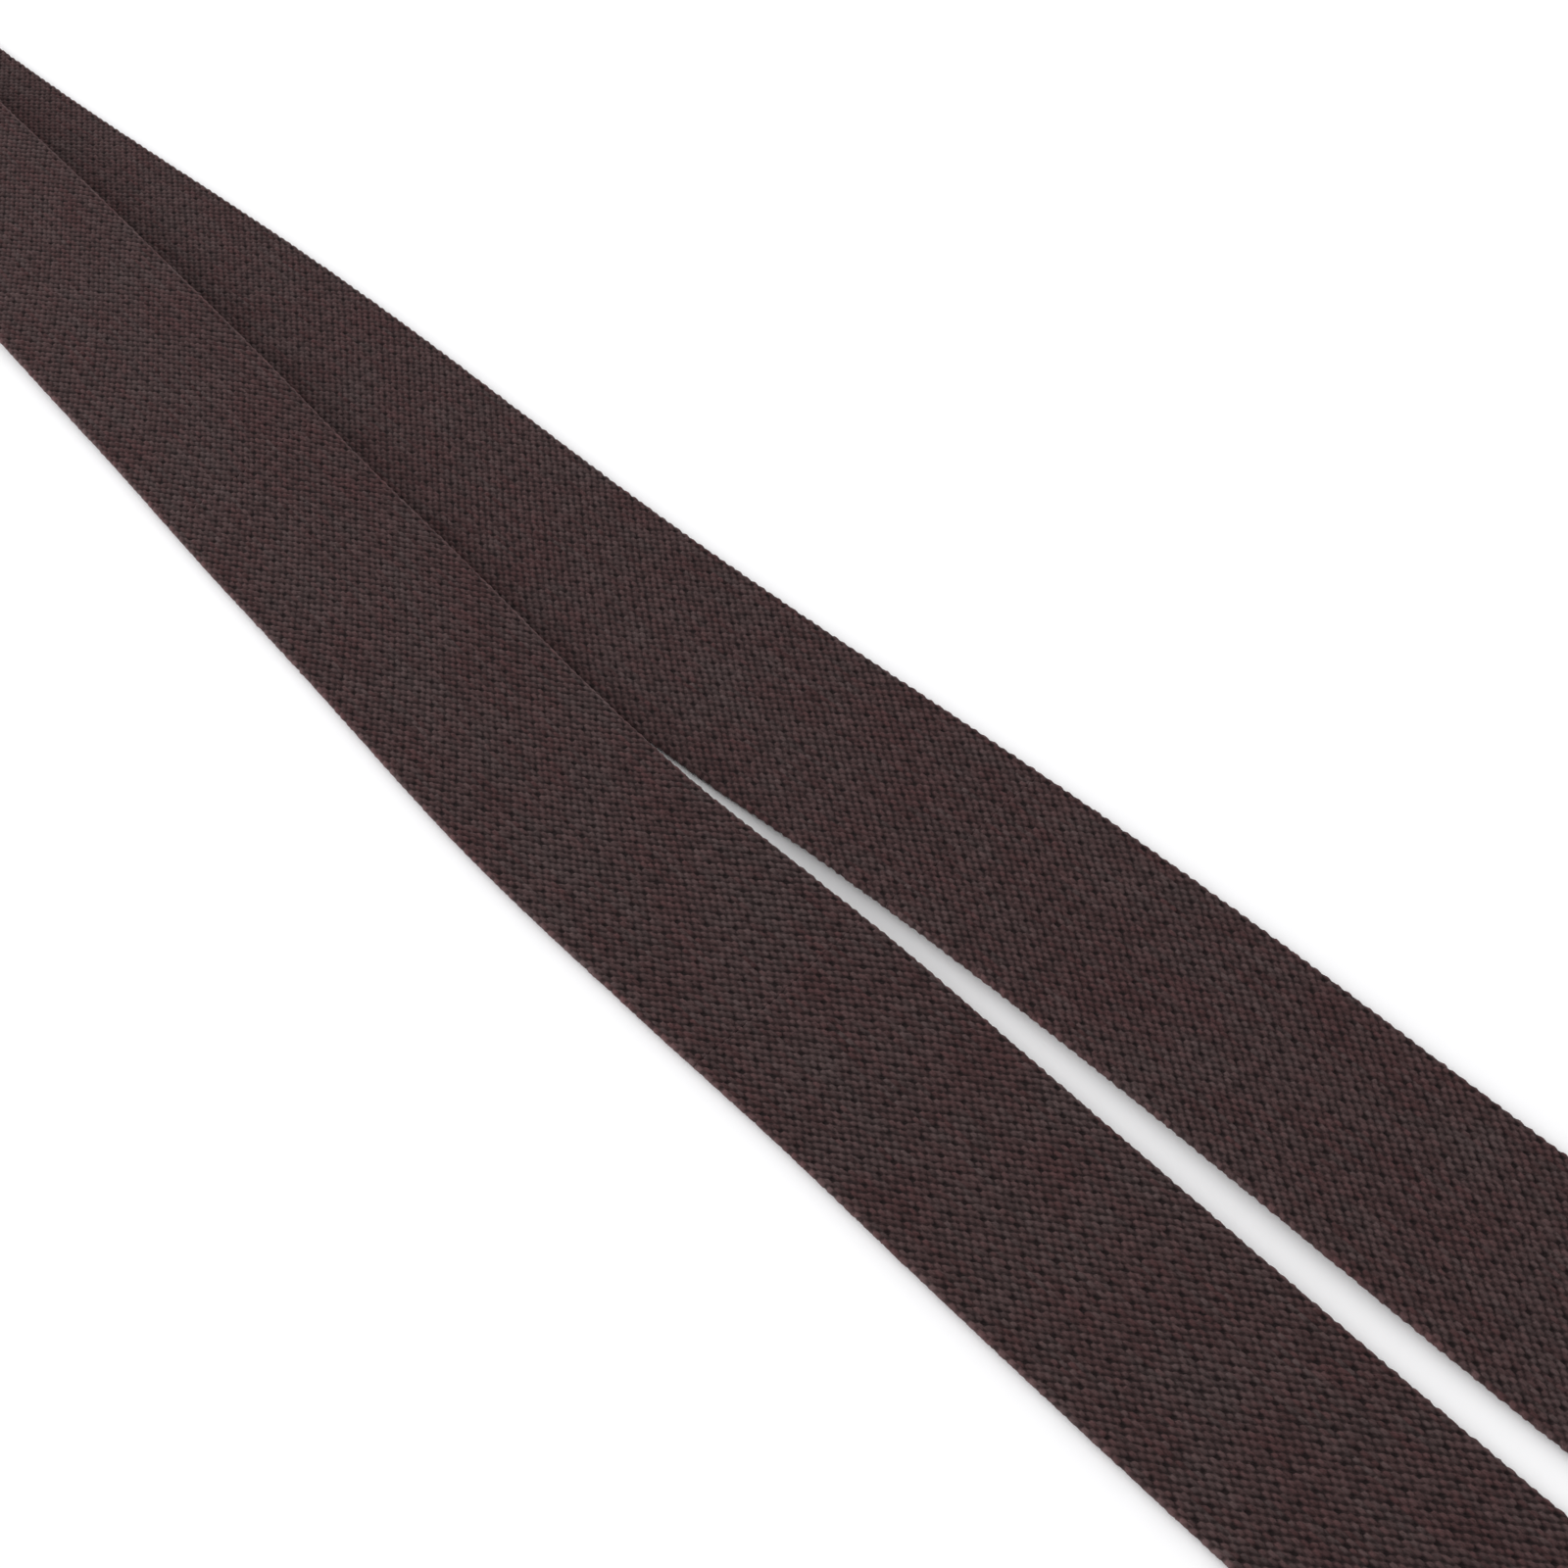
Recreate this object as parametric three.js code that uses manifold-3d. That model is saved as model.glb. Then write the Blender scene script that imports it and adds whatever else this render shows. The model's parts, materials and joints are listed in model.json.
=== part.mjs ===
// A woven martial arts belt, folded in half and laid flat: the upper run lies on the lower run at the
// fold, slants off it and then lies beside it. Millimetres, +Z up, +X from the fold to the tips. The
// origin is under the middle of the folded belt, on the surface that it lies on.
//
// The webbing is one length of strap. It is cut here into straight, stepped and bent stretches, so that
// each is a simple solid and the belt can bend where two stretches meet.

import * as THREE from "three";
import Module from "manifold-3d";
import { mergeVertices } from "three/addons/utils/BufferGeometryUtils.js";

const wasm = await Module();
wasm.setup();

// Webbing
const WIDTH = 40;
const THICKNESS = 2.4;
const SELVEDGE_RADIUS = 0.9;
const BELT_LENGTH = 2600;

// Fold, and how the upper run lies on the lower one
const FOLD_GAP = 3;
const SETTLE_RUN = 90;
const LAP_SLOPE = 0.118;
const SLANT_RUN = 650;
const STEP_RUN = 60;
const TAIL_GAP = 10;

// Clearances
const STRETCH_GAP = 0.3;
const LAYER_GAP = 0.3;
const SIDE_GAP = 0.6;
const FIT = 0.3;

// How far past the end of the slant each run first bends
const FLEX_LEAD = 20;

// Hem at each tip
const HEM_TURNBACK = 24;
const HEM_LEAD = 5;
const HEM_GAP = 0.6;
const HEM_MARGIN = 5;

// Thread and label
const THREAD_RADIUS = 0.25;
const THREAD_CHAMFER = 0.08;
const LEG_HALF = 0.15;
const STITCH = 6;
const STITCH_EDGE = 4;
const THREAD_SINK = 0.05;
const LABEL_LENGTH = 32;
const LABEL_WIDTH = 20;
const LABEL_THICKNESS = 0.5;
const LABEL_CORNER = 1;
const LABEL_MARGIN = 2.5;
const LABEL_FROM_TIP = 85;

// Worked out from the sizes above
const LOWER_RUN = BELT_LENGTH / 2;
const HEM_STRETCH = HEM_TURNBACK + HEM_GAP / 2 + THICKNESS + HEM_LEAD;
const FIRST_FLEX = SLANT_RUN + FLEX_LEAD;
const SECOND_FLEX = (FIRST_FLEX + LOWER_RUN - HEM_STRETCH) / 2;
const FOLD_RADIUS = (FOLD_GAP + THICKNESS) / 2;
const FOLD_OUTER = FOLD_GAP / 2 + THICKNESS;
const FOLD_LENGTH = Math.PI * FOLD_RADIUS;
const LAP_YAW = -Math.atan(LAP_SLOPE);
const FOLD_REACH = FOLD_OUTER + (WIDTH / 2) * Math.sin(-LAP_YAW / 2);
const FOLD_X = (FOLD_REACH - LOWER_RUN) / 2;
const LANE = (WIDTH + TAIL_GAP) / 2;
const MID = THICKNESS / 2;
const UP = new THREE.Vector3(0, 0, 1);

const webbing = () => new THREE.MeshStandardMaterial({ color: 0x3c2f2f, roughness: 0.95, metalness: 0 });
const thread = () => new THREE.MeshStandardMaterial({ color: 0x352a2a, roughness: 0.8, metalness: 0 });
const labelCloth = () => new THREE.MeshStandardMaterial({ color: 0x8d8478, roughness: 0.9, metalness: 0 });

const belt = new THREE.Group();

function add(name, geometry, material) {
  const mesh = new THREE.Mesh(geometry, material);
  mesh.name = name;
  belt.add(mesh);
}

// Solids for cutting and joining
function toSolid(geometry) {
  const bare = geometry.clone();
  bare.deleteAttribute("normal");
  bare.deleteAttribute("uv");
  const merged = mergeVertices(bare, 1e-4);
  const vertProperties = new Float32Array(merged.attributes.position.array);
  const triVerts = new Uint32Array(merged.index.array);
  return new wasm.Manifold(new wasm.Mesh({ numProp: 3, vertProperties, triVerts }));
}

function toGeometry(solid) {
  const mesh = solid.getMesh();
  const geometry = new THREE.BufferGeometry();
  geometry.setAttribute("position", new THREE.BufferAttribute(new Float32Array(mesh.vertProperties), 3));
  geometry.setIndex(new THREE.BufferAttribute(new Uint32Array(mesh.triVerts), 1));
  return geometry;
}

// A path that the strap's section is swept along. The section's width stays level and across the path.
class StrapPath extends THREE.Curve {
  constructor(pointAt, acrossAt, stations) {
    super();
    this.pointAt = pointAt;
    this.acrossAt = acrossAt;
    this.stations = stations;
  }

  getSpacedPoints() {
    return this.stations.map((s) => this.pointAt(s));
  }

  computeFrenetFrames() {
    const tangents = this.stations.map((s) => headingAt(this.pointAt, s));
    const normals = this.stations.map((s, i) => this.acrossAt(s, tangents[i]));
    const binormals = tangents.map((t, i) => new THREE.Vector3().crossVectors(t, normals[i]).normalize());
    return { tangents, normals, binormals };
  }
}

function headingAt(pointAt, s) {
  const small = 0.01;
  return pointAt(s + small).sub(pointAt(s - small)).normalize();
}

function levelAcross(s, heading) {
  return new THREE.Vector3().crossVectors(UP, heading).normalize();
}

// The webbing's section: flat faces and rounded selvedges.
function section() {
  const half = WIDTH / 2 - SELVEDGE_RADIUS;
  const rise = THICKNESS / 2 - SELVEDGE_RADIUS;
  const shape = new THREE.Shape();
  shape.absarc(half, rise, SELVEDGE_RADIUS, 0, Math.PI / 2);
  shape.absarc(-half, rise, SELVEDGE_RADIUS, Math.PI / 2, Math.PI);
  shape.absarc(-half, -rise, SELVEDGE_RADIUS, Math.PI, 1.5 * Math.PI);
  shape.absarc(half, -rise, SELVEDGE_RADIUS, 1.5 * Math.PI, 2 * Math.PI);
  return shape;
}

function strap(pointAt, acrossAt, stations) {
  const path = new StrapPath(pointAt, acrossAt, stations);
  return new THREE.ExtrudeGeometry(section(), {
    steps: stations.length - 1,
    curveSegments: 1,
    bevelEnabled: false,
    extrudePath: path,
  });
}

// Even stations from one place to another, with half the gap between stretches left at each end.
function stretch(from, to, steps) {
  const first = from + STRETCH_GAP / 2;
  const last = to - STRETCH_GAP / 2;
  return Array.from({ length: steps + 1 }, (_, i) => first + ((last - first) * i) / steps);
}

// Lower run: straight and flat on the surface.
function lowerPoint(d) {
  return new THREE.Vector3(FOLD_X + d, LANE, MID);
}

// Upper run: how far it has moved sideways off the lower one, at a distance d from the fold.
function slant(d) {
  const t = Math.min(Math.max(d / SLANT_RUN, 0), 1);
  const lead = LAP_SLOPE * SLANT_RUN * t * (1 - t) ** 2;
  return lead + (WIDTH + TAIL_GAP) * t * t * (3 - 2 * t);
}

function distanceWhereSlantIs(offset) {
  let near = 0;
  let far = SLANT_RUN;
  for (let i = 0; i < 40; i += 1) {
    const middle = (near + far) / 2;
    if (slant(middle) < offset) near = middle;
    else far = middle;
  }
  return far;
}

const STEP_START = distanceWhereSlantIs(WIDTH + SIDE_GAP);
const STEP_END = STEP_START + STEP_RUN;

// Height of the upper run's underside: it comes down from the fold onto the lower run, lies on it, and
// steps down to the surface once it is clear of the lower run's selvedge.
function upperUnderside(d) {
  const settled = THREE.MathUtils.smoothstep(d, 0, SETTLE_RUN);
  const stepped = THREE.MathUtils.smoothstep(d, STEP_START, STEP_END);
  const lap = THICKNESS + LAYER_GAP;
  return lap * (1 - stepped) + (FOLD_GAP - LAYER_GAP) * (1 - settled);
}

function upperPoint(d) {
  return new THREE.Vector3(FOLD_X + d, LANE - slant(d), upperUnderside(d) + MID);
}

// The upper run's slant makes it a little longer than its reach along X, so its tip falls short.
function upperReach() {
  const whole = BELT_LENGTH - LOWER_RUN - FOLD_LENGTH;
  const pieces = 400;
  let measured = 0;
  for (let i = 0; i < pieces; i += 1) {
    const a = upperPoint((SLANT_RUN * i) / pieces);
    const b = upperPoint((SLANT_RUN * (i + 1)) / pieces);
    measured += a.distanceTo(b);
  }
  return whole - (measured - SLANT_RUN);
}

// Fold: half a turn, from the lower run's end up to the upper run's end.
function foldPoint(angle) {
  const x = FOLD_X - FOLD_RADIUS * Math.sin(angle);
  const z = MID + FOLD_RADIUS * (1 - Math.cos(angle));
  return new THREE.Vector3(x, LANE, z);
}

function foldAcross(angle) {
  const yaw = (LAP_YAW * angle) / Math.PI;
  return new THREE.Vector3(Math.sin(yaw), -Math.cos(yaw), 0);
}

function foldHalf(from, to) {
  const gap = STRETCH_GAP / FOLD_RADIUS / 2;
  const steps = 5;
  const stations = Array.from({ length: steps + 1 }, (_, i) => from + gap + ((to - from - 2 * gap) * i) / steps);
  return strap(foldPoint, foldAcross, stations);
}

// Hem: the run's last stretch turns up and back over itself.
function hemPath(tipX, y) {
  const radius = (THICKNESS + HEM_GAP) / 2;
  const turnX = tipX - radius - MID;
  const startX = tipX - HEM_STRETCH + STRETCH_GAP / 2;
  const flat = turnX - startX;
  const turn = Math.PI * radius;
  const pointAt = (s) => {
    if (s <= flat) return new THREE.Vector3(startX + s, y, MID);
    if (s >= flat + turn) return new THREE.Vector3(turnX - (s - flat - turn), y, MID + 2 * radius);
    const angle = (s - flat) / radius;
    return new THREE.Vector3(turnX + radius * Math.sin(angle), y, MID + radius * (1 - Math.cos(angle)));
  };
  const acrossAt = () => new THREE.Vector3(0, 1, 0);
  const turnSteps = 6;
  const bend = Array.from({ length: turnSteps + 1 }, (_, i) => flat + (turn * i) / turnSteps);
  const stations = [0, ...bend, flat + turn + HEM_TURNBACK];
  return { pointAt, acrossAt, stations };
}

// Box stitch, given as its centre and side lengths: the holes are evenly spaced along each side.
function boxHoles(box) {
  const signs = [[-1, -1], [1, -1], [1, 1], [-1, 1]];
  const corners = signs.map(([a, b]) => new THREE.Vector2(box.x + (a * box.length) / 2, box.y + (b * box.width) / 2));
  return corners.flatMap((corner, side) => {
    const next = corners[(side + 1) % corners.length];
    const count = Math.round(corner.distanceTo(next) / STITCH);
    return Array.from({ length: count }, (_, i) => corner.clone().lerp(next, i / count));
  });
}

function rectangle(kind, box, grow) {
  const x = box.length / 2 + grow;
  const y = box.width / 2 + grow;
  const points = [[-x, -y], [x, -y], [x, y], [-x, y]].map(([a, b]) => new THREE.Vector2(box.x + a, box.y + b));
  return new kind(points);
}

// A rectangular loop of square section, with its edges cut back by a chamfer.
function boxLoop(box, middleZ, half, chamfer) {
  const shape = rectangle(THREE.Shape, box, half);
  shape.holes.push(rectangle(THREE.Path, box, -half));
  const geometry = new THREE.ExtrudeGeometry(shape, {
    depth: 2 * (half - chamfer),
    bevelEnabled: chamfer > 0,
    bevelThickness: chamfer,
    bevelSize: chamfer,
    bevelOffset: -chamfer,
    bevelSegments: 1,
  });
  geometry.translate(0, 0, middleZ - half + chamfer);
  return toSolid(geometry);
}

function uprights(box, lowZ, highZ, half) {
  const posts = boxHoles(box).map((hole) => {
    const post = new THREE.BoxGeometry(2 * half, 2 * half, highZ - lowZ);
    return toSolid(post.translate(hole.x, hole.y, (lowZ + highZ) / 2));
  });
  return posts.reduce((solid, one) => solid.add(one));
}

// One thread of a box stitch: along the face, with a leg into each hole.
function boxThread(box, faceZ, legZ) {
  const legs = uprights(box, Math.min(faceZ, legZ), Math.max(faceZ, legZ), LEG_HALF);
  return toGeometry(legs.add(boxLoop(box, faceZ, THREAD_RADIUS, THREAD_CHAMFER)));
}

function threadHoles(box, lowZ, highZ) {
  return uprights(box, lowZ, highZ, LEG_HALF + FIT);
}

function threadGroove(box, faceZ) {
  return boxLoop(box, faceZ, THREAD_RADIUS + FIT, 0);
}

// A hem and its two threads, which interlock between the two layers without touching.
function addHem(run, tipX, y) {
  const { pointAt, acrossAt, stations } = hemPath(tipX, y);
  const topZ = 2 * THICKNESS + HEM_GAP;
  const layerZ = THICKNESS + HEM_GAP / 2;
  const turnbackX = tipX - THICKNESS - HEM_GAP / 2 - HEM_TURNBACK / 2;
  const box = { x: turnbackX, y, length: HEM_TURNBACK - 2 * HEM_MARGIN, width: WIDTH - 2 * STITCH_EDGE };
  const needleZ = topZ - THREAD_RADIUS - THREAD_SINK;
  const bobbinZ = THREAD_RADIUS + THREAD_SINK;
  const hem = toSolid(strap(pointAt, acrossAt, stations))
    .subtract(threadGroove(box, needleZ))
    .subtract(threadGroove(box, bobbinZ))
    .subtract(threadHoles(box, -1, topZ + 1));
  add(`${run}_tip_hem`, toGeometry(hem), webbing());
  add(`${run}_tip_needle_thread`, boxThread(box, needleZ, layerZ + FIT / 2), thread());
  add(`${run}_tip_bobbin_thread`, boxThread(box, bobbinZ, layerZ - FIT / 2), thread());
}

function labelShape() {
  const x = LABEL_LENGTH / 2 - LABEL_CORNER;
  const y = LABEL_WIDTH / 2 - LABEL_CORNER;
  const shape = new THREE.Shape();
  shape.absarc(x, y, LABEL_CORNER, 0, Math.PI / 2);
  shape.absarc(-x, y, LABEL_CORNER, Math.PI / 2, Math.PI);
  shape.absarc(-x, -y, LABEL_CORNER, Math.PI, 1.5 * Math.PI);
  shape.absarc(x, -y, LABEL_CORNER, 1.5 * Math.PI, 2 * Math.PI);
  return shape;
}

// The blank label on a tail, its two threads, and the tail that they pass through.
function addLabelledTail(name, from, to, pointAt) {
  const centre = pointAt(to - LABEL_FROM_TIP);
  const length = LABEL_LENGTH - 2 * LABEL_MARGIN;
  const box = { x: centre.x, y: centre.y, length, width: LABEL_WIDTH - 2 * LABEL_MARGIN };
  const labelZ = THICKNESS + LAYER_GAP;
  const needleZ = labelZ + LABEL_THICKNESS + FIT + THREAD_RADIUS;
  const bobbinZ = THREAD_RADIUS + THREAD_SINK;
  const holes = threadHoles(box, -1, needleZ);
  const plate = new THREE.ExtrudeGeometry(labelShape(), {
    depth: LABEL_THICKNESS,
    curveSegments: 1,
    bevelEnabled: false,
  });
  plate.translate(centre.x, centre.y, labelZ);
  const tail = toSolid(strap(pointAt, levelAcross, stretch(from, to, 1)))
    .subtract(threadGroove(box, bobbinZ))
    .subtract(holes);
  add(name, toGeometry(tail), webbing());
  add("blank_label", toGeometry(toSolid(plate).subtract(holes)), labelCloth());
  add("label_needle_thread", boxThread(box, needleZ, MID + FIT / 2), thread());
  add("label_bobbin_thread", boxThread(box, bobbinZ, MID - FIT / 2), thread());
}

// Lower run
add("lower_run_base", strap(lowerPoint, levelAcross, stretch(0, FIRST_FLEX, 1)), webbing());
add("lower_run_middle", strap(lowerPoint, levelAcross, stretch(FIRST_FLEX, SECOND_FLEX, 1)), webbing());
add("lower_run_tail", strap(lowerPoint, levelAcross, stretch(SECOND_FLEX, LOWER_RUN - HEM_STRETCH, 1)), webbing());
addHem("lower", FOLD_X + LOWER_RUN, LANE);

// Fold
add("fold_lower_half", foldHalf(0, Math.PI / 2), webbing());
add("fold_upper_half", foldHalf(Math.PI / 2, Math.PI), webbing());

// Upper run
const upperTip = upperReach();
const tailY = LANE - slant(SLANT_RUN);
add("upper_run_settle", strap(upperPoint, levelAcross, stretch(0, SETTLE_RUN, 9)), webbing());
add("upper_run_lap", strap(upperPoint, levelAcross, stretch(SETTLE_RUN, STEP_START, 12)), webbing());
add("upper_run_step", strap(upperPoint, levelAcross, stretch(STEP_START, STEP_END, 8)), webbing());
add("upper_run_base", strap(upperPoint, levelAcross, stretch(STEP_END, FIRST_FLEX, 6)), webbing());
add("upper_run_middle", strap(upperPoint, levelAcross, stretch(FIRST_FLEX, SECOND_FLEX, 1)), webbing());
addLabelledTail("upper_run_tail", SECOND_FLEX, upperTip - HEM_STRETCH, upperPoint);
addHem("upper", FOLD_X + upperTip, tailY);

export default belt;
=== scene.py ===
"""Looks for a woven martial arts belt, folded in half and laid flat.

The webbing is swept along the belt's own path and a Geometry Nodes tree raises
its warp floats. Stitches are laid along the sewn lines by a second tree.
"""

import json
import logging
import math
from collections.abc import Callable
from dataclasses import dataclass, field
from enum import Enum
from typing import Any

import bpy
import numpy as np
from mathutils import Matrix, Vector


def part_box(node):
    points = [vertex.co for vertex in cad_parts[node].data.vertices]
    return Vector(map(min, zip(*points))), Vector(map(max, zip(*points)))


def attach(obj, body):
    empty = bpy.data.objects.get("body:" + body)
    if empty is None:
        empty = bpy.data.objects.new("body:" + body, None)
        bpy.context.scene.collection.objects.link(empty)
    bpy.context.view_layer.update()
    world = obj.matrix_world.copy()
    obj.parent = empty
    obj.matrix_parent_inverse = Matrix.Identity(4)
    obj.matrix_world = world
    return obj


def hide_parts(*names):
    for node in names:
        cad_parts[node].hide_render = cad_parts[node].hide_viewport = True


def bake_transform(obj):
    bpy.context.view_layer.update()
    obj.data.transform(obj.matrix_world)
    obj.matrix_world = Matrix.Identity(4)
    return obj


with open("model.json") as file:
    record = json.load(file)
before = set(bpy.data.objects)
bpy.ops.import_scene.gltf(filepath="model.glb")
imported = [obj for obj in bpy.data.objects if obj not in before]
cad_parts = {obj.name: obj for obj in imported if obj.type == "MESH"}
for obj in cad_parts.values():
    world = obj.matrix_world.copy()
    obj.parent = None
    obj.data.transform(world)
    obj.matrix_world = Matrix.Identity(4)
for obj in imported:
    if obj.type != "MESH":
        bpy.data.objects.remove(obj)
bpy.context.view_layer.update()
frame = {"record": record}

log = logging.getLogger("belt")

Array = np.ndarray
Material = bpy.types.Material
Piece = bpy.types.Object
Shape = Callable[[Array, Array], Array]
Socket = bpy.types.NodeSocket
Span = tuple[float, float]
Triple = tuple[float, float, float]

SLANT_SAMPLES = 65001
NUDGE = 1e-5


class Run(Enum):
    """The two halves of the folded belt."""

    LOWER = "lower"
    UPPER = "upper"


class Grain(Enum):
    """How many samples cross each warp end on one face of the webbing."""

    FINE = (-1 / 3, 0.0, 1 / 3)
    MEDIUM = (-0.25, 0.25)
    PLAIN = (0.0,)


@dataclass(frozen=True)
class BeltSizes:
    """The belt's driving sizes, in metres.

    A name that ends in begins or ends holds the two distances from the fold
    between which something comes in or goes out.
    """

    width: float = 0.040
    thickness: float = 0.0024
    fold_gap: float = 0.003
    settle_run: float = 0.090
    lap_slope: float = 0.118
    slant_run: float = 0.650
    step_run: float = 0.060
    tail_gap: float = 0.010
    layer_gap: float = 0.0003
    side_gap: float = 0.0006
    hem_turnback: float = 0.024
    hem_lead: float = 0.005
    hem_gap: float = 0.0006
    hem_margin: float = 0.005
    hem_turn_steps: int = 12
    hem_back_steps: int = 23
    stitch_edge: float = 0.004
    stitch_share: float = 0.9
    thread_radius: float = 0.00028
    warp_ends: int = 52
    row_pitch: float = 0.0022
    float_pitch: float = 0.0011
    relief: float = 0.00062
    selvedge: float = 0.0011
    edge_hold: float = 0.5
    fold_rows: int = 4
    lead_rows: int = 2
    wander: float = 0.00115
    wander_length: float = 0.232
    wander_from: float = 0.170
    wander_begins: Span = (0.03, 0.10)
    wander_ends: Span = (0.60, 0.66)
    lean_in: float = 0.0019
    lean_at: float = 0.372
    lean_width: float = 0.046
    lean_out: float = 0.0009
    out_begins: Span = (0.10, 0.17)
    out_ends: Span = (0.23, 0.29)
    lean_back: float = 0.0006
    back_begins: Span = (0.42, 0.46)
    curl_rise: float = 0.0014
    curl_bulge: float = 0.0026
    curl_draw: float = 0.0020
    curl_extra: float = 0.0004
    curl_root: float = -0.008
    curl_begins: Span = (0.04, 0.11)
    curl_ends: Span = (0.50, 0.58)
    bulge_ends: Span = (0.20, 0.31)
    draw_ends: Span = (0.39, 0.45)
    parted_root: float = 0.004
    parted_begins: Span = (0.385, 0.42)
    parted_ends: Span = (0.52, 0.60)
    droop_reach: float = 0.032

    @property
    def middle(self) -> float:
        """Height of the webbing's middle above what it lies on."""
        return self.thickness / 2

    @property
    def lane(self) -> float:
        """Distance of each tail's centreline from the belt's own middle line."""
        return (self.width + self.tail_gap) / 2

    @property
    def fold_radius(self) -> float:
        """Radius of the fold at the middle of the webbing."""
        return (self.fold_gap + self.thickness) / 2

    @property
    def end_pitch(self) -> float:
        """Distance between warp ends across the webbing."""
        return self.width / self.warp_ends

    @property
    def hem_radius(self) -> float:
        """Radius of the hem's turn at the middle of the webbing."""
        return (self.thickness + self.hem_gap) / 2

    @property
    def hem_stretch(self) -> float:
        """Length of the tip that the hem takes up."""
        return self.hem_turnback + self.hem_gap / 2 + self.thickness + self.hem_lead


SIZES = BeltSizes()
LOWER_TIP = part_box("lower_tip_hem")[1][0]
UPPER_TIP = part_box("upper_tip_hem")[1][0]


def hinge_place(name: str) -> Vector:
    """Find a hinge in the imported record."""
    joints = frame["record"]["behaviour"]["joints"]
    return Vector(next(j["pos_m"] for j in joints if j["name"] == name))


FOLD_X = hinge_place("fold").x


@dataclass
class Stations:
    """Points along the webbing's middle, with the way it faces at each.

    Attributes:
        centre: Points on the middle line.
        heading: Unit vectors along the belt.
        across: Unit vectors across the belt.
        along: Distance woven so far, which keeps the rows in step.
    """

    centre: Array
    heading: Array
    across: Array
    along: Array

    @property
    def inner(self) -> Array:
        """Unit vectors towards the belt's inner face."""
        normal = np.cross(self.heading, self.across)
        return normal / np.linalg.norm(normal, axis=1, keepdims=True)

    def joined(self, other: "Stations") -> "Stations":
        """Append another stretch whose first station repeats the last one."""
        names = ("centre", "heading", "across", "along")
        pairs = ((getattr(self, name), getattr(other, name)[1:]) for name in names)
        return Stations(*map(np.concatenate, pairs))


def eased(value: Array, start: float, end: float) -> Array:
    """Ease from nought at start to one at end."""
    t = np.clip((value - start) / (end - start), 0, 1)
    return t * t * (3 - 2 * t)


def columns(*parts: Any) -> Array:
    """Stack numbers or rows into one array of points."""
    return np.stack(np.broadcast_arrays(*parts), axis=1).astype(float)


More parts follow.
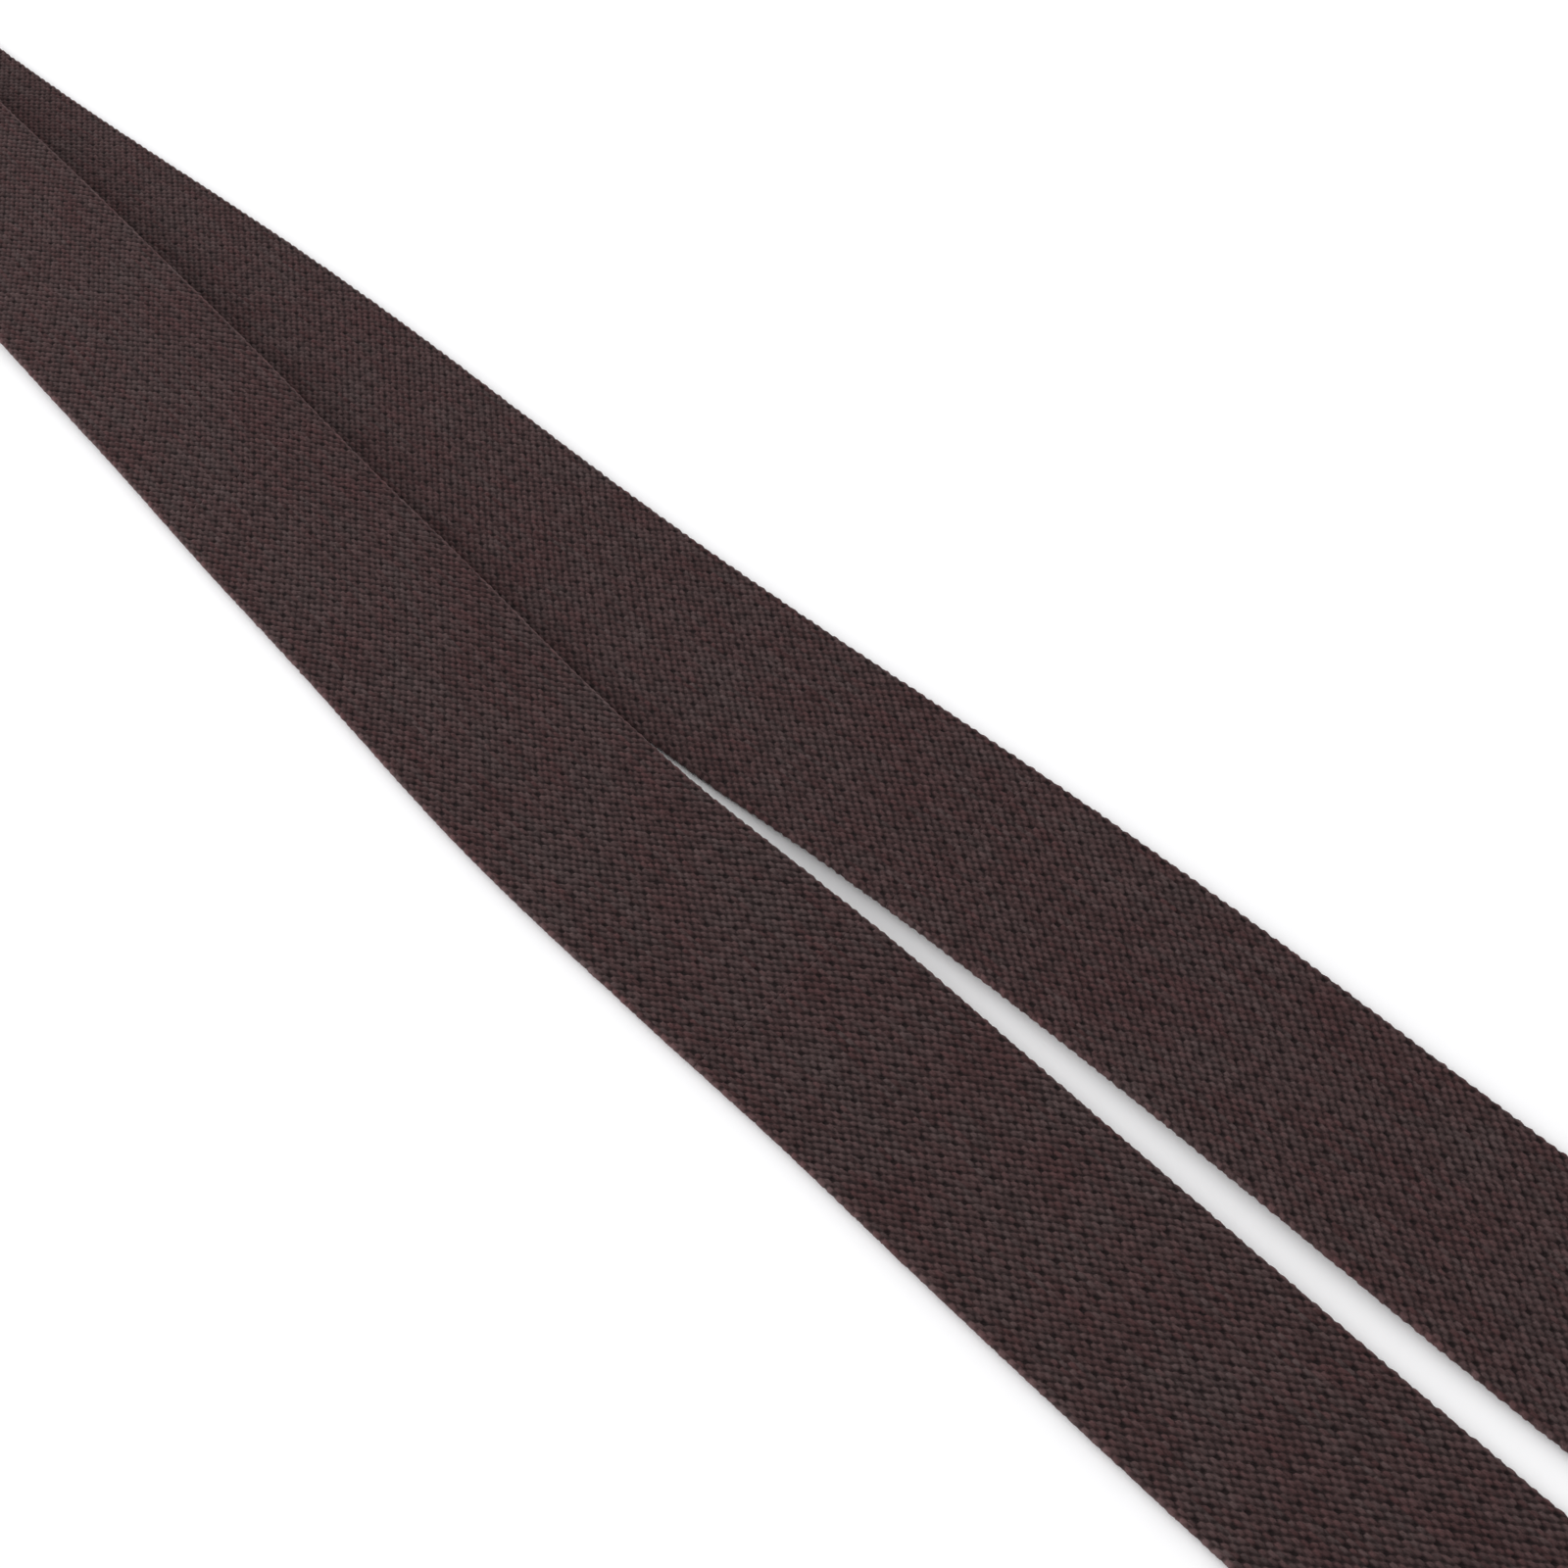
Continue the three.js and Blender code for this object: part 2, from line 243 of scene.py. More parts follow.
class BeltPath:
    """The middle line of the webbing, from the lower tip round to the upper one."""

    def __init__(self, sizes: BeltSizes) -> None:
        """Keep the sizes and find where the upper run steps down."""
        self.sizes = sizes
        runs = np.linspace(0, sizes.slant_run, SLANT_SAMPLES)
        clear = self.slant(runs) >= sizes.width + sizes.side_gap
        self.step_start = float(runs[int(np.argmax(clear))])

    def slant(self, run: Array) -> Array:
        """Give how far the upper run has moved sideways."""
        s = self.sizes
        t = np.clip(run / s.slant_run, 0, 1)
        leaving = s.lap_slope * s.slant_run * t * (1 - t) ** 2
        return leaving + (s.width + s.tail_gap) * t * t * (3 - 2 * t)

    def underside(self, run: Array) -> Array:
        """Give the height of the upper run's underside."""
        s = self.sizes
        settled = eased(run, 0, s.settle_run)
        stepped = eased(run, self.step_start, self.step_start + s.step_run)
        lapped = (s.thickness + s.layer_gap) * (1 - stepped)
        return lapped + (s.fold_gap - s.layer_gap) * (1 - settled)

    def lower_wander(self, run: Array) -> Array:
        """Give the lower run's slight wander to either side."""
        s = self.sizes
        swing = np.sin(2 * math.pi * (run - s.wander_from) / s.wander_length)
        begun = eased(run, *s.wander_begins)
        return s.wander * swing * begun * (1 - eased(run, *s.wander_ends))

    def upper_wander(self, run: Array) -> Array:
        """Give the upper run's lean away from the lower one as it leaves it."""
        s = self.sizes
        lean = -s.lean_in * np.exp(-(((run - s.lean_at) / s.lean_width) ** 2))
        out = s.lean_out * eased(run, *s.out_begins) * (1 - eased(run, *s.out_ends))
        back = s.lean_back * eased(run, *s.back_begins)
        return (lean + out + back) * (1 - eased(run, *s.wander_ends))

    def droop(self, points: Array) -> Array:
        """Let the upper run hang down past the lower run's edge."""
        s = self.sizes
        run = points[:, 0] - FOLD_X
        edge = s.lane - s.width / 2 + self.lower_wander(run)
        fall = self.underside(np.maximum(run, 0))
        fall *= eased(edge - points[:, 1], 0, s.droop_reach)
        fall *= eased(run, 0, s.settle_run)
        rise, draw = self.curl(points[:, 1], run)
        return np.stack([0 * fall, -draw, rise - fall], axis=1)

    def curl(self, lateral: Array, run: Array) -> tuple[Array, Array]:
        """Let the upper run's inner side curl up off the lower run."""
        s = self.sizes
        middle = s.lane - self.slant(run) + self.upper_wander(run)
        inward = eased(lateral - middle, s.curl_root, s.width / 2)
        near = 1 - eased(run, *s.bulge_ends)
        begun = inward * eased(run, *s.curl_begins)
        rise = (s.curl_rise + s.curl_bulge * near) * begun * (1 - eased(run, *s.curl_ends))
        draw = (s.curl_draw + s.curl_extra * near) * begun * (1 - eased(run, *s.draw_ends))
        return rise, draw

    def lower_curl(self, points: Array) -> Array:
        """Let the lower run's inner side curl up where the runs part."""
        s = self.sizes
        run = points[:, 0] - FOLD_X
        aside = s.lane + self.lower_wander(run) - points[:, 1]
        parted = eased(run, *s.parted_begins) * (1 - eased(run, *s.parted_ends))
        rise = s.curl_rise * eased(aside, s.parted_root, s.width / 2) * parted
        return np.stack([0 * rise, 0 * rise, rise], axis=1)

    def lower(self, run: Array) -> Stations:
        """Place stations on the lower run."""
        s = self.sizes
        centre = columns(FOLD_X + run, s.lane + self.lower_wander(run), s.middle)
        swing = self.lower_wander(run + NUDGE) - self.lower_wander(run - NUDGE)
        yaw = np.arctan(swing / (2 * NUDGE))
        heading = columns(-np.cos(yaw), -np.sin(yaw), 0)
        return Stations(centre, heading, columns(np.sin(yaw), -np.cos(yaw), 0), -run)

    def upper(self, run: Array) -> Stations:
        """Place stations on the upper run.

        Args:
            run: Distances from the fold, rising.

        Returns:
            The stations.
        """
        s = self.sizes
        ahead, behind = run + NUDGE, np.maximum(run - NUDGE, 0)
        aside = [self.slant(r) - self.upper_wander(r) for r in (ahead, behind)]
        sideways = (aside[0] - aside[1]) / (ahead - behind)
        rise = (self.underside(ahead) - self.underside(behind)) / (ahead - behind)
        yaw = -np.arctan(sideways)
        lateral = s.lane - self.slant(run) + self.upper_wander(run)
        centre = columns(FOLD_X + run, lateral, self.underside(run) + s.middle)
        heading = columns(np.cos(yaw), np.sin(yaw), rise)
        heading /= np.linalg.norm(heading, axis=1, keepdims=True)
        across = columns(np.sin(yaw), -np.cos(yaw), 0)
        return Stations(centre, heading, across, run + s.fold_rows * s.row_pitch)

    def fold(self, count: int) -> Stations:
        """Place stations round the fold, from the lower run to the upper."""
        s = self.sizes
        angle = np.linspace(0, math.pi, count + 1)
        radius = s.fold_radius
        height = s.middle + radius * (1 - np.cos(angle))
        centre = columns(FOLD_X - radius * np.sin(angle), s.lane, height)
        heading = columns(-np.cos(angle), 0, np.sin(angle))
        yaw = -math.atan(s.lap_slope) * angle / math.pi
        across = columns(np.sin(yaw), -np.cos(yaw), 0)
        along = angle / math.pi * s.fold_rows * s.row_pitch
        return Stations(centre, heading, across, along)

    def hem(self, run: Run, tip: float, lane: float, first: float) -> Stations:
        """Place stations through a turned-back end.

        Args:
            run: Which half of the belt ends here.
            tip: Where the tip is along the belt.
            lane: Where the tail lies across.
            first: The woven distance where the hem begins.

        Returns:
            The stations, in the order the belt was woven.
        """
        s = self.sizes
        radius = s.hem_radius
        turn_x = tip - radius - s.middle
        flat = turn_x - (tip - s.hem_stretch)
        half_turn = math.pi * radius
        pitch = s.row_pitch / 2
        turned = flat + half_turn
        parts = (
            np.linspace(0, flat, round(flat / pitch), endpoint=False),
            np.linspace(flat, turned, s.hem_turn_steps, endpoint=False),
            np.linspace(turned, turned + s.hem_turnback, s.hem_back_steps),
        )
        u = np.concatenate(parts)
        angle = np.clip((u - flat) / half_turn, 0, 1) * math.pi
        back = np.maximum(u - flat - half_turn, 0)
        x = turn_x - flat + np.minimum(u, flat) + radius * np.sin(angle) - back
        centre = columns(x, lane, s.middle + radius * (1 - np.cos(angle)))
        heading = columns(np.cos(angle), 0, np.sin(angle))
        across = columns(0, -np.ones_like(u), 0)
        if run is Run.UPPER:
            return Stations(centre, heading, across, first + u)
        return Stations(centre[::-1], -heading[::-1], across, (first - u)[::-1])


class NodeBench:
    """Adds nodes to one tree and joins their sockets."""

    def __init__(self, tree: bpy.types.NodeTree) -> None:
        """Keep the tree to work on."""
        self.tree = tree

    def feed(self, socket: Socket, value: Any) -> None:
        """Link a socket to a value's socket, or set it."""
        if isinstance(value, Socket):
            self.tree.links.new(value, socket)
        else:
            socket.default_value = value

    def fill(self, node: bpy.types.Node, inputs: dict[Any, Any]) -> None:
        """Set or link a node's inputs, by name or number."""
        for name, value in inputs.items():
            self.feed(node.inputs[name], value)

    def add(
        self, kind: str, inputs: dict[Any, Any] | None = None, **settings: Any
    ) -> bpy.types.Node:
        """Add a node with its own settings and its inputs."""
        node = self.tree.nodes.new(kind)
        for name, value in settings.items():
            setattr(node, name, value)
        self.fill(node, inputs or {})
        return node

    def math(self, operation: str, *values: Any) -> Socket:
        """Add a sum, product or other simple step on numbers."""
        node = self.add("ShaderNodeMath", operation=operation)
        for socket, value in zip(node.inputs, values):
            self.feed(socket, value)
        return node.outputs[0]

    def plus(self, first: Any, second: Any) -> Socket:
        """Add two numbers."""
        return self.math("ADD", first, second)

    def minus(self, first: Any, second: Any) -> Socket:
        """Take the second number from the first."""
        return self.math("SUBTRACT", first, second)

    def times(self, first: Any, second: Any) -> Socket:
        """Multiply two numbers."""
        return self.math("MULTIPLY", first, second)

    def over(self, first: Any, second: Any) -> Socket:
        """Divide the first number by the second."""
        return self.math("DIVIDE", first, second)

    def scaled(self, vector: Any, size: Any) -> Socket:
        """Multiply a vector by a number."""
        inputs = {0: vector, "Scale": size}
        return self.add("ShaderNodeVectorMath", inputs, operation="SCALE").outputs[0]

    def vector(self, x: Any, y: Any, z: Any = 0.0) -> Socket:
        """Join three numbers into a vector."""
        return self.add("ShaderNodeCombineXYZ", {0: x, 1: y, 2: z}).outputs[0]

    def noise(self, where: Any, scale: float, detail: float = 2.0) -> Socket:
        """Add smooth noise read at a vector."""
        inputs = {"Vector": where, "Scale": scale, "Detail": detail}
        return self.add("ShaderNodeTexNoise", inputs, noise_dimensions="3D").outputs[0]

    def ramp(
        self, value: Any, low: float, high: float, start: float = 0.0, end: float = 1.0
    ) -> Socket:
        """Map a number from one range to another, held at its ends."""
        inputs = {0: value, 1: low, 2: high, 3: start, 4: end}
        return self.add("ShaderNodeMapRange", inputs).outputs[0]

    def blend(self, share: Any, first: Any, second: Any) -> Socket:
        """Mix two colours."""
        inputs = {0: share, 6: first, 7: second}
        return self.add("ShaderNodeMix", inputs, data_type="RGBA").outputs[2]

    def bump(self, height: Any, strength: float, distance: float) -> Socket:
        """Turn a height into a surface direction."""
        inputs = {"Strength": strength, "Distance": distance, "Height": height}
        return self.add("ShaderNodeBump", inputs).outputs[0]

    def place(self) -> tuple[Socket, list[Socket]]:
        """Read the place on the object, whole and in its three parts."""
        place = self.add("ShaderNodeTexCoord").outputs["Object"]
        return place, list(self.add("ShaderNodeSeparateXYZ", {0: place}).outputs)

    def attribute(self, name: str) -> Socket:
        """Read one of the piece's own number attributes in a material."""
        return self.add("ShaderNodeAttribute", attribute_name=name).outputs["Fac"]


def opened(name: str) -> tuple[Material, NodeBench, bpy.types.Node]:
    """Start a material."""
    material = bpy.data.materials.new(name)
    material.use_nodes = True
    bench = NodeBench(material.node_tree)
    return material, bench, material.node_tree.nodes["Principled BSDF"]


def shaded(value: Triple) -> tuple[float, ...]:
    """Give a colour full cover."""
    return (*value, 1.0)


@dataclass(frozen=True)
class WebbingFinish:
    """Matt dark brown spun yarn, greyer in some ends and redder in others."""

    grey_yarn: Triple = (0.0484, 0.0321, 0.0318)
    red_yarn: Triple = (0.0465, 0.0216, 0.0220)
    # Painted shade: near-black colour for the pits between floats, where the relief is low.
    pit: Triple = (0.0085, 0.0048, 0.0050)
    pit_shade_relief: Span = (0.03, 0.66)
    patch_length: float = 0.011
    patch_width: float = 0.009
    patch_grain: float = 0.55
    strand_stride: float = 5.37
    strand_share: float = 0.65
    patch_share: float = 0.35
    red_range: Span = (0.38, 0.62)
    cell_gain: float = 0.55
    fibre_gain: float = 1.05
    base_gain: float = 0.38
    fibre_grain: Span = (1500.0, 3600.0)
    # Painted shade in the grooves between warp ends, a little lighter on their crests.
    groove_shade_width: float = 0.6
    groove_shade_gain: Span = (0.74, 1.04)
    # Painted highlight: a lighter band along both selvedges.
    rim_highlight_reach: Span = (0.0009, 0.0002)
    rim_highlight_gain: float = 0.55
    twist_pitch: Span = (0.00062, 0.00046)
    twist_height: float = 0.22
    bump: Span = (0.55, 0.00012)
    sheen_tint: Triple = (0.84, 0.58, 0.58)
    sizes: BeltSizes = SIZES

    def yarn(self, bench: NodeBench, along: Socket, across: Socket) -> Socket:
        """Choose each yarn's colour.

        Args:
            bench: The material's bench.
            along: Distance along the webbing.
            across: Distance across it.

        Returns:
            The colour.
        """
        patch = bench.over(along, self.patch_length)
        end = bench.math("FLOOR", bench.over(across, self.sizes.end_pitch))
        strand = bench.times(end, self.strand_stride)
        tint = bench.noise(bench.vector(patch, strand, 1.0), 1.0, 1.5)
        side = bench.over(across, self.patch_width)
        cloud = bench.noise(bench.vector(patch, side, 7.0), self.patch_grain)
        tint = bench.times(tint, self.strand_share)
        mixed = bench.plus(tint, bench.times(cloud, self.patch_share))
        redness = bench.ramp(mixed, *self.red_range)
        return bench.blend(redness, shaded(self.grey_yarn), shaded(self.red_yarn))

    def level(
        self, bench: NodeBench, along: Socket, across: Socket, fibre: Socket
    ) -> Socket:
        """Make floats and fibres differ in level, with painted shade in grooves and a painted
        rim highlight.

        Args:
            bench: The material's bench.
            along: Distance along the webbing.
            across: Distance across it.
            fibre: The fibres' noise.

        Returns:
            What to multiply the colour by.
        """
        s = self.sizes
        ends = bench.over(across, s.end_pitch)
        end = bench.math("FLOOR", ends)
        odd = bench.math("FLOORED_MODULO", end, 2.0)
        rows = bench.plus(bench.over(along, s.float_pitch), odd)
        pick = bench.math("FLOOR", bench.times(bench.plus(rows, 0.5), 0.5))
        where = {"Vector": bench.vector(end, pick, 3.0)}
        cell = bench.add("ShaderNodeTexWhiteNoise", where, noise_dimensions="3D")
        gained = bench.times(cell.outputs["Value"], self.cell_gain)
        level = bench.plus(gained, bench.times(fibre, self.fibre_gain))
        level = bench.plus(level, self.base_gain)
        # Painted shade: darker in the grooves between warp ends, where shade falls, slightly
        # lighter on their crests.
        beat = bench.math("ABSOLUTE", bench.math("SINE", bench.times(ends, math.pi)))
        groove_shade = bench.ramp(beat, 0.0, self.groove_shade_width, *self.groove_shade_gain)
        # Painted highlight: lighter along both selvedges, where the rounded edge would catch
        # the light.
        off_middle = bench.math("ABSOLUTE", bench.minus(across, s.width / 2))
        reach = [s.width / 2 - r for r in self.rim_highlight_reach]
        rim = bench.ramp(off_middle, *reach, 0.0, self.rim_highlight_gain)
        return bench.times(level, bench.plus(groove_shade, rim))

    def build(self) -> Material:
        """Make the material.

        Returns:
            The material.
        """
        material, bench, shader = opened("webbing_yarn")
        along, across = bench.attribute("along"), bench.attribute("across")
        grain = [bench.times(v, g) for v, g in zip((along, across), self.fibre_grain)]
        fibre = bench.noise(bench.vector(*grain), 1.0, 3.0)
        level = self.level(bench, along, across, fibre)
        lit = bench.scaled(self.yarn(bench, along, across), level)
        # Painted shade: the yarn colour darkens towards the pit colour where the relief
        # height is low.
        depth = bench.ramp(bench.attribute("relief"), *self.pit_shade_relief)
        turns = [2 * math.pi / pitch for pitch in self.twist_pitch]
        twist = bench.plus(*(bench.times(v, t) for v, t in zip((along, across), turns)))
        ply = bench.plus(bench.times(bench.math("SINE", twist), self.twist_height), fibre)
        finish = {
            "Base Color": bench.blend(depth, shaded(self.pit), lit),
            "Normal": bench.bump(ply, *self.bump),
            "Roughness": 0.86,
            "Specular IOR Level": 0.14,
            "Sheen Weight": 0.16,
            "Sheen Roughness": 0.45,
            "Sheen Tint": shaded(self.sheen_tint),
        }
        bench.fill(shader, finish)
        return material


@dataclass(frozen=True)
class ThreadFinish:
    """Dark brown sewing thread with two plies and a slight sheen."""

    colour: Triple = (0.040, 0.026, 0.026)
    # Lighter thread tone that the fibre noise varies towards, also the painted highlight on
    # the ply crests.
    light: Triple = (0.085, 0.060, 0.058)
    ply_pitch: float = 0.00035
    ply_share: float = 0.25
    fibre_grain: float = 7000.0
    bump: Span = (0.5, 0.00008)

    def build(self) -> Material:
        """Make the material.

        Returns:
            The material.
        """
        material, bench, shader = opened("sewing_thread")
        place, (x, y, z) = bench.place()
        total = bench.plus(bench.plus(x, y), z)
        # Partly painted light: the ply banding paints highlight on the ply crests and shade
        # between them; the fibre noise is the thread's own tone.
        ply = bench.math("SINE", bench.times(total, 2 * math.pi / self.ply_pitch))
        fibre = bench.noise(place, self.fibre_grain)
        share = bench.plus(bench.times(ply, self.ply_share), fibre)
        finish = {
            "Base Color": bench.blend(share, shaded(self.colour), shaded(self.light)),
            "Normal": bench.bump(share, *self.bump),
            "Roughness": 0.55,
            "Sheen Weight": 0.2,
        }
        bench.fill(shader, finish)
        return material


@dataclass(frozen=True)
class LabelFinish:
    """Blank grey-beige label cloth in a fine close weave."""

    face: Triple = (0.290, 0.250, 0.205)
    shade: Triple = (0.190, 0.160, 0.128)
    pick_pitch: float = 0.00042
    weave_share: float = 0.3
    cloud_grain: float = 900.0
    bump: Span = (0.6, 0.00006)

    def build(self) -> Material:
        """Make the material.

        Returns:
            The material.
        """
        material, bench, shader = opened("label_cloth")
        place, (x, y, _) = bench.place()
        turn = 2 * math.pi / self.pick_pitch
        warp, weft = (bench.math("SINE", bench.times(v, turn)) for v in (x, y))
        cloud = bench.noise(place, self.cloud_grain, 3.0)
        share = bench.plus(bench.times(bench.times(warp, weft), self.weave_share), cloud)
        finish = {
            "Base Color": bench.blend(share, shaded(self.shade), shaded(self.face)),
            "Normal": bench.bump(share, *self.bump),
            "Roughness": 0.7,
            "Sheen Weight": 0.25,
        }
        bench.fill(shader, finish)
        return material


@dataclass(frozen=True)
class FloorFinish:
    """White card with the faintest tooth."""

    colour: Triple = (0.93, 0.93, 0.94)
    shade: Triple = (0.92, 0.92, 0.93)
    tooth_grain: float = 300.0

    def build(self) -> Material:
        """Make the material."""
        material, bench, shader = opened("white_card")
        tooth = bench.noise(bench.place()[0], self.tooth_grain, 2.0)
        colour = bench.blend(tooth, shaded(self.shade), shaded(self.colour))
        bench.fill(shader, {"Base Color": colour, "Roughness": 0.9})
        return material


class GrownMesh:
    """An object whose mesh a Geometry Nodes tree grows and then leaves plain."""

    def __init__(self, name: str, numbers: tuple[str, ...]) -> None:
        """Open a tree with a geometry, named numbers and a finish for inputs."""
        self.tree = bpy.data.node_groups.new(name, "GeometryNodeTree")
        sockets = [("INPUT", "Geometry", "Geometry"), ("OUTPUT", "Geometry", "Geometry")]
        sockets += [("INPUT", title, "Float") for title in numbers]
        sockets.append(("INPUT", "Finish", "Material"))
        for side, title, kind in sockets:
            self.tree.interface.new_socket(
                name=title, in_out=side, socket_type=f"NodeSocket{kind}"
            )
        self.bench = NodeBench(self.tree)
        self.given = self.bench.add("NodeGroupInput").outputs
        self.result = self.bench.add("NodeGroupOutput").inputs[0]

    def close(self, geometry: Socket) -> None:
        """Realise the geometry and give it its finish."""
        real = self.bench.add("GeometryNodeRealizeInstances", {"Geometry": geometry})
        dressed = self.bench.add(
            "GeometryNodeSetMaterial",
            {"Geometry": real.outputs[0], "Material": self.given["Finish"]},
        )
        self.bench.feed(self.result, dressed.outputs[0])

    def grow(self, piece: Piece, values: dict[str, Any]) -> None:
        """Run the tree on an object and keep the plain result.

        Args:
            piece: The object, with the mesh that the tree starts from.
            values: Input values by name.
        """
        modifier = piece.modifiers.new("Growth", "NODES")
        modifier.node_group = self.tree
        for item in self.tree.interface.items_tree:
            if item.in_out == "INPUT" and item.name in values:
                modifier[item.identifier] = values[item.name]
        graph = bpy.context.evaluated_depsgraph_get()
        mesh = bpy.data.meshes.new_from_object(
            piece.evaluated_get(graph), preserve_all_data_layers=True, depsgraph=graph
        )
        piece.modifiers.clear()
        piece.data = mesh
        mesh.name = piece.name


class Weave(GrownMesh):
    """Raises the warp floats of a plain weave out of a smooth strap."""

    turn_shake: Span = (520.0, 1.6)
    drift_shake: Span = (430.0, 0.75)
    slack_grain: float = 620.0
    float_bluntness: float = 0.72
    ridge_bluntness: float = 0.7
    pit_phase: float = 1.5

    def __init__(self) -> None:
        """Build the tree."""
        spacing = ("End Pitch", "Row Pitch", "Seed")
        shapes = ("Relief", "Yarn Lean", "Deep Pits", "Lower Yarn", "Unevenness", "Wobble")
        super().__init__("Warp floats", spacing + shapes)
        bench, given = self.bench, self.given
        along, across = self.read("along"), self.read("across")
        spot = bench.vector(along, across, given["Seed"])
        beat = bench.times(bench.over(along, given["Row Pitch"]), math.pi)
        turn = bench.plus(beat, self.shake(spot, *self.turn_shake))
        lean = bench.times(bench.math("SINE", bench.times(turn, 2.0)), given["Yarn Lean"])
        count = bench.over(across, given["End Pitch"])
        drift = self.shake(bench.vector(across, along, given["Seed"]), *self.drift_shake)
        ends = bench.plus(bench.plus(count, lean), drift)
        crest = bench.math("SINE", bench.times(ends, math.pi))
        swell = bench.times(bench.math("COSINE", turn), crest)
        size = bench.math("POWER", bench.math("ABSOLUTE", swell), self.float_bluntness)
        floats = bench.times(size, bench.math("SIGN", swell))
        slack = bench.minus(bench.noise(spot, self.slack_grain, 2.0), 0.5)
        slack = bench.times(slack, given["Unevenness"])
        height = bench.plus(bench.times(bench.plus(floats, 1.0), 0.5), slack)
        ridge = bench.math("POWER", bench.math("ABSOLUTE", crest), self.ridge_bluntness)
        height = bench.math("MAXIMUM", height, bench.times(ridge, given["Lower Yarn"]))
        height = bench.minus(height, self.pits(count, turn))
        height = bench.math("MINIMUM", bench.math("MAXIMUM", height, 0.0), 1.0)
        store = {"Geometry": given["Geometry"], "Name": "relief"}
        kind = "GeometryNodeStoreNamedAttribute"
        stored = bench.add(kind, store, data_type="FLOAT", domain="POINT")
        bench.feed(self.live(stored.inputs, "Value"), height)
        drop = bench.times(bench.minus(height, 1.0), given["Relief"])
        push = bench.scaled(self.read("lift", "FLOAT_VECTOR"), drop)
        move = {"Geometry": stored.outputs[0], "Offset": push}
        self.close(bench.add("GeometryNodeSetPosition", move).outputs[0])

    def pits(self, count: Socket, turn: Socket) -> Socket:
        """Open a short pit at every fourth end and every second float."""
        bench = self.bench
        phase = bench.times(bench.minus(count, self.pit_phase), math.pi / 2)
        half_turn = bench.math("COSINE", bench.times(turn, 0.5))
        open_row = bench.math("POWER", bench.math("MAXIMUM", half_turn, 0.0), 2.0)
        deep = bench.times(bench.math("COSINE", phase), open_row)
        return bench.times(bench.math("MAXIMUM", deep, 0.0), self.given["Deep Pits"])

    def shake(self, spot: Socket, scale: float, share: float) -> Socket:
        """Read a signed wobble for the yarns, at a scale and with a share."""
        swing = self.bench.minus(self.bench.noise(spot, scale, 1.0), 0.5)
        return self.bench.times(self.bench.times(swing, share), self.given["Wobble"])

    @staticmethod
    def live(sockets: Any, name: str) -> Socket:
        """Find the socket of that name that is in use."""
        return next(s for s in sockets if s.name == name and s.enabled)

    def read(self, name: str, kind: str = "FLOAT") -> Socket:
        """Read one of the mesh's own attributes."""
        reader = "GeometryNodeInputNamedAttribute"
        node = self.bench.add(reader, {"Name": name}, data_type=kind)
        return self.live(node.outputs, "Attribute")


class StitchRow(GrownMesh):
    """Lays rounded stitches end to end along sewn lines."""

    def __init__(self) -> None:
        """Build the tree."""
        super().__init__("Stitches", ("Stitch Pitch", "Stitch Length", "Thread Radius"))
        bench, given = self.bench, self.given
        line = bench.add("GeometryNodeMeshToCurve", {0: given["Geometry"]})
        steps = {"Curve": line.outputs[0], "Length": given["Stitch Pitch"]}
        spaced = bench.add("GeometryNodeResampleCurve", steps, mode="LENGTH")
        ball = {"Segments": 8, "Rings": 6, "Radius": 1.0}
        seed = bench.add("GeometryNodeMeshUVSphere", ball)
        tangent = bench.add("GeometryNodeInputTangent")
        facing = {"Vector": tangent.outputs[0]}
        aim = bench.add("FunctionNodeAlignRotationToVector", facing, axis="X")
        half = bench.times(given["Stitch Length"], 0.5)
        scale = bench.vector(half, given["Thread Radius"], given["Thread Radius"])
        row = {
            "Points": spaced.outputs[0],
            "Instance": seed.outputs[0],
            "Rotation": aim.outputs[0],
            "Scale": scale,
        }
        laid = bench.add("GeometryNodeInstanceOnPoints", row)
        smooth = bench.add("GeometryNodeSetShadeSmooth", {0: laid.outputs[0]})
        self.close(smooth.outputs[0])


def mesh_piece(
    name: str, points: Array, faces: list[Array], smooth: Array
) -> Piece:
    """Make an object from arrays.

    Args:
        name: The piece's name.
        points: Its vertices.
        faces: Arrays of faces, one row a face, or one array for a single face.
        smooth: Whether each face is smooth.

    Returns:
        The object, in the scene.
    """
    rows = [np.atleast_2d(f) for f in faces]
    sizes = np.concatenate([np.full(len(r), r.shape[1]) for r in rows])
    corners = np.concatenate([r.ravel() for r in rows]).astype(np.int32)
    starts = np.concatenate([[0], np.cumsum(sizes)[:-1]]).astype(np.int32)
    mesh = bpy.data.meshes.new(name)
    mesh.vertices.add(len(points))
    mesh.vertices.foreach_set("co", points.astype(np.float32).ravel())
    mesh.loops.add(len(corners))
    mesh.loops.foreach_set("vertex_index", corners)
    mesh.polygons.add(len(sizes))
    mesh.polygons.foreach_set("loop_start", starts)
    mesh.update(calc_edges=True)
    mesh.polygons.foreach_set("use_smooth", smooth.astype(bool))
    mesh.validate()
    piece = bpy.data.objects.new(name, mesh)
    bpy.context.scene.collection.objects.link(piece)
    return piece


